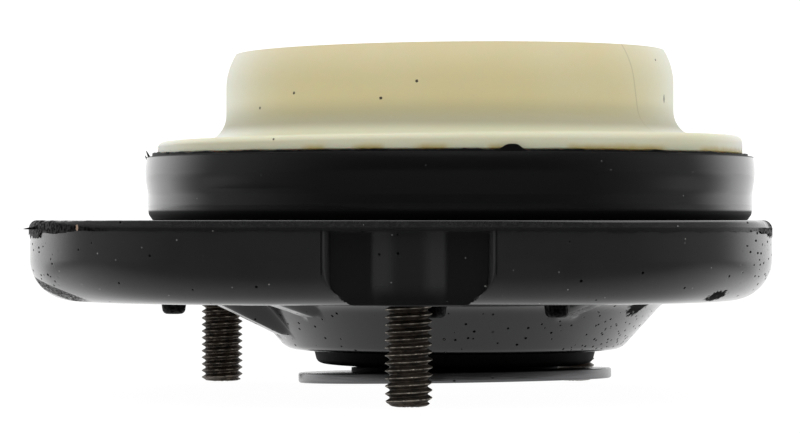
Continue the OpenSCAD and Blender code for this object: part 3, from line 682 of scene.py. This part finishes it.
washer_corners = [(6.95, 10.8, 0.2), (17.0, 10.8, 0.4), (17.0, 12.8, 0.5), (6.95, 12.8, 0.3)]
washer = make_piece("rod_stop_washer", [(turned(eased(np.array(washer_corners) * mm)), True)], zinc)
fit(washer, "mount", "disc_steel", "stop_washer")

disc_lean_front = math.radians(-1.9)
disc_lean_right = math.radians(-0.95)
disc_seat = np.array([0.9, 0, -13.06]) * mm
disc_corners = [(7.85, -1.8, 0.2), (28.0, -1.8, 0.45), (28.0, 0, 0.3), (18.5, 0, 0.1), (18.5, 0.8, 0.1),
                (7.85, 0.8, 0.1)]


def leaned(grid):
    """The disc's points tipped about the X axis, then about the Y axis, and set on its seat."""
    x, y, z = grid[..., 0], grid[..., 1], grid[..., 2]
    cosine, sine = math.cos(disc_lean_front), math.sin(disc_lean_front)
    y, z = y * cosine - z * sine, y * sine + z * cosine
    cosine, sine = math.cos(disc_lean_right), math.sin(disc_lean_right)
    x, z = x * cosine + z * sine, z * cosine - x * sine
    return np.stack((x, y, z), -1) + disc_seat


stamped, place = new_finish("stamped_grey_steel", Metallic=1.0)
wipe = place.stretched(6, 6, 0.4).cloud(1.2 * mm)
scuffed = place.specks(2.2 * mm, 0.5 * mm, 0.25)
# The raised hub under the neck is near-black and rough.
dark_hub = place.mark("hub")
lay_on(stamped, wipe - scuffed, 0.02 * mm,
       Base_Color=scuffed.most(dark_hub).tint(wipe.tint(grey(0.14), grey(0.22)), grey(0.01)),
       Roughness=(0.20 + 0.10 * wipe).most(0.7 * dark_hub))
disc_grid = turned(eased(np.array(disc_corners) * mm))
on_hub = disc_grid[..., 2] > 0.02 * mm
disc = make_piece("stamped_disc", [(leaned(disc_grid), True)], stamped, 35, {"hub": on_hub})
fit(disc, "mount", "disc_steel", "rebound_disc")

# Bearing case: a channel moulded in black plastic that stands on the plate and holds the fixed race.
# Satin, with a softly bulged upper half and an undercut foot; a thin lip round its top is left ragged.

case_foot = [(36.6, 12.0, 0.3), (37.8, 12.0, 0.3), (37.8, 13.8, 0), (53.1, 13.8, 0.4), (53.8, 14.8, 1.2)]
case_wall = [(53.95, 16.4, 4), (53.95, 18.6, 8), (54.4, 21.4, 8), (54.4, 22.8, 10), (54.15, 25.0, 0.12)]
case_lip = [(53.2, 25.0, 0.08), (53.15, 25.75, 0.08), (52.55, 25.75, 0.08), (52.55, 25.1, 0.05)]
case_channel = [(50.9, 25.1, 0), (50.9, 21.5, 0), (49.7, 21.5, 0), (49.7, 15.4, 0), (48.9, 15.4, 0),
                (48.9, 16.4, 0), (47.95, 16.4, 0), (47.95, 15.4, 0), (40.85, 15.4, 0), (40.85, 16.4, 0),
                (39.9, 16.4, 0), (39.9, 15.4, 0), (38.5, 15.4, 0), (38.5, 21.0, 0)]
case_hook = [(36.0, 21.0, 0.2), (36.0, 20.0, 0.2), (36.6, 20.0, 0)]
case_corners = case_foot + case_wall + case_lip + case_channel + case_hook
case_sides = 640
lip_foot_z = 25.1 * mm
lip_h = 0.65 * mm
lip_inner_r = 52 * mm
blob_bearing = math.radians(-79.8)
blob_half = math.radians(1.75)
blob_h = 0.5 * mm
frayed_bearing = math.radians(196)
frayed_half = math.radians(13)
satin_black, place = new_finish("satin_black_plastic", Specular_IOR_Level=0.5, Coat_Roughness=0.10)
drawn = place.stretched(1, 1, 0.12).cloud(5 * mm)
fleck = place.specks(1.6 * mm, 0.22 * mm, 0.06)
height = place.part("Z")
# The undercut foot is painted shade: near-black, rough and metallic, so that it reflects little. The thin
# top lip is darkened the same way.
shaded_foot_dark_lip = height.rise(15.8 * mm, 15.2 * mm).most(height.rise(24.7 * mm, 24.95 * mm))
case_tone = fleck.tint(drawn.tint(grey(0.0035), grey(0.0050)), grey(0.20))
lay_on(satin_black, place.cloud(0.5 * mm), 0.003 * mm,
       Base_Color=shaded_foot_dark_lip.tint(case_tone, grey(0.015)),
       Roughness=(0.13 + 0.04 * drawn).most(0.6 * shaded_foot_dark_lip), Metallic=shaded_foot_dark_lip, Coat_Weight=0.6 - 0.6 * shaded_foot_dark_lip)


def case_form():
    """The case turned on a lathe, with its thin upper lip uneven in height round the axis: low and lightly
    ragged, torn up at one bearing, and with one soft blob of extra plastic near the front."""
    grid = turned(eased(np.array(case_corners) * mm), case_sides)
    angle = np.arctan2(grid[..., 1], grid[..., 0])
    reach = np.hypot(grid[..., 0], grid[..., 1])
    on_lip = np.clip((grid[..., 2] - lip_foot_z) / lip_h, 0, 1) * (reach > lip_inner_r)
    frayed = np.exp(-(np.angle(np.exp(1j * (angle - frayed_bearing))) / frayed_half) ** 2)
    waves = ragged(angle, 21, 14, 300)
    worn = np.clip(-0.38 + 0.16 * waves + frayed * (0.2 + 0.5 * waves), -0.6, 0) * mm
    blob = np.exp(-((angle - blob_bearing) / blob_half) ** 4)
    grid[..., 2] += on_lip * (worn * (1 - blob) + blob_h * blob)
    return grid


case_grids = [(case_form(), True), (thorn((-53.5, -2.0, 24.6), (-54.3, -2.2, 26.3), 0.3), False),
              (thorn((-53.9, -3.0, 24.4), (-54.4, -3.2, 25.4), 0.22), False)]
case = make_piece("bearing_channel", case_grids, satin_black)
fit(case, "mount", "case_plastic", "bearing_case")

# Thrust bearing: two hardened races with a ball groove, the balls between them in a green-black plastic
# cage, and a soft rubber seal on each side. Greased steel, ground smooth.

ground_steel, place = new_finish("ground_bearing_steel", Metallic=1.0)
grind = place.stretched(1, 1, 0.08).cloud(1.5 * mm)
lay_on(ground_steel, Base_Color=grind.tint(rgb(0.50, 0.50, 0.50), rgb(0.62, 0.62, 0.61)),
       Roughness=0.12 + 0.14 * grind)
dress(ground_steel, "fixed_race", "turning_race", "balls")
cage_plastic, place = new_finish("cage_plastic", Specular_IOR_Level=0.5)
flow = place.cloud(4 * mm)
lay_on(cage_plastic, place.cloud(0.3 * mm), 0.01 * mm,
       Base_Color=flow.tint(rgb(0.035, 0.06, 0.045), rgb(0.05, 0.085, 0.065)), Roughness=0.4 + 0.1 * flow)
dress(cage_plastic, "ball_cage")
dress(bush_black, "outer_seal", "inner_seal")

# Spring guide: one moulding in ivory nylon, a flange that the spring sits on and a collar that centres it.
# It turns on the bearing, held by a skirt with a snap hook. Waxy, yellowed by grease along its lower edge.

guide_skirt = [(33.7, 17.6, 0.3), (35.5, 17.6, 0.3), (36.3, 18.8, 0.2), (36.3, 19.5, 0), (35.7, 19.5, 0)]
guide_seat = [(35.7, 24.2, 0), (39.9, 24.2, 0), (39.9, 23.2, 0), (40.85, 23.2, 0), (40.85, 24.2, 0),
              (47.95, 24.2, 0), (47.95, 23.2, 0), (48.9, 23.2, 0), (48.9, 24.2, 0), (49.2, 24.2, 0)]
guide_flange = [(49.2, 25.4, 0), (52.2, 25.4, 0.3), (52.2, 28.2, 1.2)]
guide_collar = [(40.0, 28.2, 4.6), (40.0, 40.87, 11.6), (38.27, 43.7, 0.25), (36.0, 43.7, 0.5),
                (36.0, 28.2, 1.0), (33.7, 28.2, 0.5)]
guide_corners = guide_skirt + guide_seat + guide_flange + guide_collar
grease_spans = np.array([(-24.5, -21.4), (-16.0, -12.0), (-5.9, -1.4), (5.7, 7.9), (19.0, 35.1),
                         (42.2, 51.5)]) * mm
soot_spots = [(-26.9, -29.6, 35.4), (-33.0, -22.6, 33.1), (-28.0, -28.6, 30.7), (-29.9, -42.8, 27.3),
              (-1.6, -38.6, 41.6), (-6.1, -39.5, 37.0), (-12.1, -38.1, 34.2), (19.0, -35.2, 29.5),
              (35.6, -17.1, 41.7)]
guide_tilt = 0.0103
flange_low, flange_top = 25.4 * mm, 28.2 * mm
flange_face_r = 50 * mm
arc_steps, guide_sides = 12, 320
guide_grid = turned(eased(np.array(guide_corners) * mm, arc_steps), guide_sides)
guide_grid[..., 2] += guide_tilt * guide_grid[..., 0] * s_curve(guide_grid[..., 2], flange_low, flange_top)
from_middle = np.abs(guide_grid[..., None, 0] - grease_spans.mean(1))
outside = np.hypot(guide_grid[..., 0], guide_grid[..., 1]) > flange_face_r
in_front = outside & (guide_grid[..., 1] < 0)
in_span = s_curve(np.diff(grease_spans)[:, 0] / 2 - from_middle, -0.8 * mm, 0.5 * mm).max(-1)
nylon, place = new_finish("ivory_nylon", Subsurface_Weight=0.2, Subsurface_Scale=2 * mm,
                          Specular_IOR_Level=0.5)
x, y, z = place.part("X"), place.part("Y"), place.part("Z")
blush = place.cloud(22 * mm, 2.0)
waxy = place.stretched(1, 1, 0.3).cloud(6 * mm)
seep = place.mark("grease") * (z + 0.6 * mm * place.cloud(2 * mm)).rise(27.1 * mm, 25.7 * mm)
soot = place.blot((37.2, -14.7, 35.0), 0.3 * mm, (1.0, 1.0, 2.5))
for spot in soot_spots:
    soot = soot.most(place.blot(spot, 0.26 * mm))
turn = y.maths("ARCTAN2", y, x)
seam_turn, seam_slant, seam_top = 0.705, 5.4, 43 * mm
off_seam = turn - seam_slant * (seam_top - z) + seam_turn
seam = off_seam.line(0, 0.004)
on_collar = z.rise(28.4 * mm, 30.5 * mm)
# The ivory is painted paler and less yellow towards the sides and back: painted light from behind shining
# through the nylon. The front keeps the yellowed tone, varied at random by the cloud.
painted_sidelight_falloff = y.rise(-8 * mm, -32 * mm) * (0.7 + 0.5 * blush)
collar_ivory = painted_sidelight_falloff.tint(rgb(0.83, 0.83, 0.68), rgb(0.77, 0.68, 0.39))
# The collar is painted darker and greyer towards its foot: painted shade, where less light reaches it.
painted_shade_low_collar = 0.88 * z.rise(35 * mm, 29.5 * mm)
collar_ivory = painted_shade_low_collar.tint(collar_ivory, rgb(0.44, 0.42, 0.29))
flange_ivory = painted_sidelight_falloff.tint(rgb(0.87, 0.88, 0.80), rgb(0.76, 0.75, 0.54))
ivory = on_collar.tint(flange_ivory, collar_ivory)
ivory = (0.35 * seam * on_collar).tint(ivory, rgb(0.40, 0.35, 0.2))
ivory = seep.tint(ivory, rgb(0.62, 0.49, 0.17))
lay_on(nylon, waxy, 0.04 * mm,
       Base_Color=soot.tint(ivory, rgb(0.06, 0.05, 0.03)), Roughness=0.40 + 0.12 * waxy)
guide = make_piece("ivory_spring_guide", [(guide_grid, True)], nylon, 35, {"grease": in_span * in_front})
fit(guide, "guide", "guide_nylon", "spring_guide")

# Stage: a white studio. A floor under the studs, a bright surround behind and above, dim on the camera's
# side, and a camera level with the plate's top.

floor_z = cad_corners[0].z - 0.2 * mm
floor_half = 6.0
floor_mesh = bpy.data.meshes.new("floor")
floor_corners = [(-floor_half, -floor_half, floor_z), (floor_half, -floor_half, floor_z),
                 (floor_half, floor_half, floor_z), (-floor_half, floor_half, floor_z)]
floor_mesh.from_pydata(floor_corners, [], [(0, 1, 2, 3)])
floor = bpy.data.objects.new("floor", floor_mesh)
bpy.context.scene.collection.objects.link(floor)
white_floor, place = new_finish("white_floor", Base_Color=rgb(0.9, 0.9, 0.9), Roughness=0.9,
                                Specular_IOR_Level=0.0)
tree = white_floor.node_tree
camera_ray = place.node("ShaderNodeLightPath", out="Is Camera Ray")
mirrored = place.node("ShaderNodeLightPath", out="Is Glossy Ray")
mirrored = mirrored.most(place.node("ShaderNodeLightPath", out="Is Transmission Ray"))


def surround(away):
    """The studio's brightness in a direction, by how far that points away from the camera: dim on the
    camera's side, brighter at the sides and white behind."""
    return 0.03 + 0.22 * away.rise(-0.95, 0.1) + 0.9 * away.rise(0.12, 0.72)


depth = place.part("Y")
distance = place.node("ShaderNodeVectorMath", {"operation": "LENGTH"}, {0: place}, "Value")
near_reach = 0.07
shadow_tone = 0.07
shadow_light = 0.075
seen_white = 0.98
brightest = 1.05
# For reflections the floor glows with painted light: a pool brightest beneath and beside the part, fading
# with distance, over the surround's brightness and dim towards the camera. Camera rays see it evenly white.
close_by = distance.maths("DIVIDE", near_reach, distance).rise(0.1, 1.0)
beneath = 0.48 * depth.rise(-0.085, -0.04)
beside = 0.3 * (place.part("X").size().rise(0.02, 0.06) * depth.rise(-0.05, -0.015))
painted_floor_glow = surround(depth / distance) + close_by * (0.09 + beneath + beside)
painted_floor_glow = painted_floor_glow.maths("MINIMUM", painted_floor_glow, brightest)
strength = (seen_white * camera_ray).most(painted_floor_glow - shadow_light)
bright = place.node("ShaderNodeEmission", None, {"Color": rgb(1, 1, 1), "Strength": strength})
faint = place.node("ShaderNodeBsdfDiffuse", None, {"Color": rgb(shadow_tone, shadow_tone, shadow_tone)})
shown = place.node("ShaderNodeAddShader", None, {0: bright, 1: faint})
plain = Finish(tree, tree.nodes["Principled BSDF"].outputs[0])
surface = place.node("ShaderNodeMixShader", None, {0: camera_ray.most(mirrored), 1: plain, 2: shown})
tree.links.new(surface.socket, tree.nodes["Material Output"].inputs["Surface"])
floor_mesh.materials.append(white_floor)

world = bpy.data.worlds.new("studio")
bpy.context.scene.world = world
world.use_nodes = True
air = Finish(world.node_tree)
direction = air.node("ShaderNodeTexCoord", out="Generated")
overhead = 1.3 * direction.part("Z").rise(0.25, 0.65)
level = surround(direction.part("Y")).most(overhead)
world.node_tree.links.new(level.socket, world.node_tree.nodes["Background"].inputs["Strength"])
world.node_tree.nodes["Background"].inputs["Color"].default_value = rgb(1, 1, 1)

photo_width_px = 800
focal_px = 3100
horizon_below_middle_px = 1.5
eye = (-8.9 * mm, -556 * mm, 14.18 * mm)
camera_data = bpy.data.cameras.new("camera")
camera_data.sensor_width = 36
camera_data.lens = camera_data.sensor_width * focal_px / photo_width_px
camera_data.shift_y = horizon_below_middle_px / photo_width_px
camera = bpy.data.objects.new("camera", camera_data)
camera.location = eye
camera.rotation_euler = (math.pi / 2, 0, 0)
bpy.context.scene.collection.objects.link(camera)
bpy.context.scene.camera = camera
bpy.context.scene.view_settings.view_transform = "Standard"
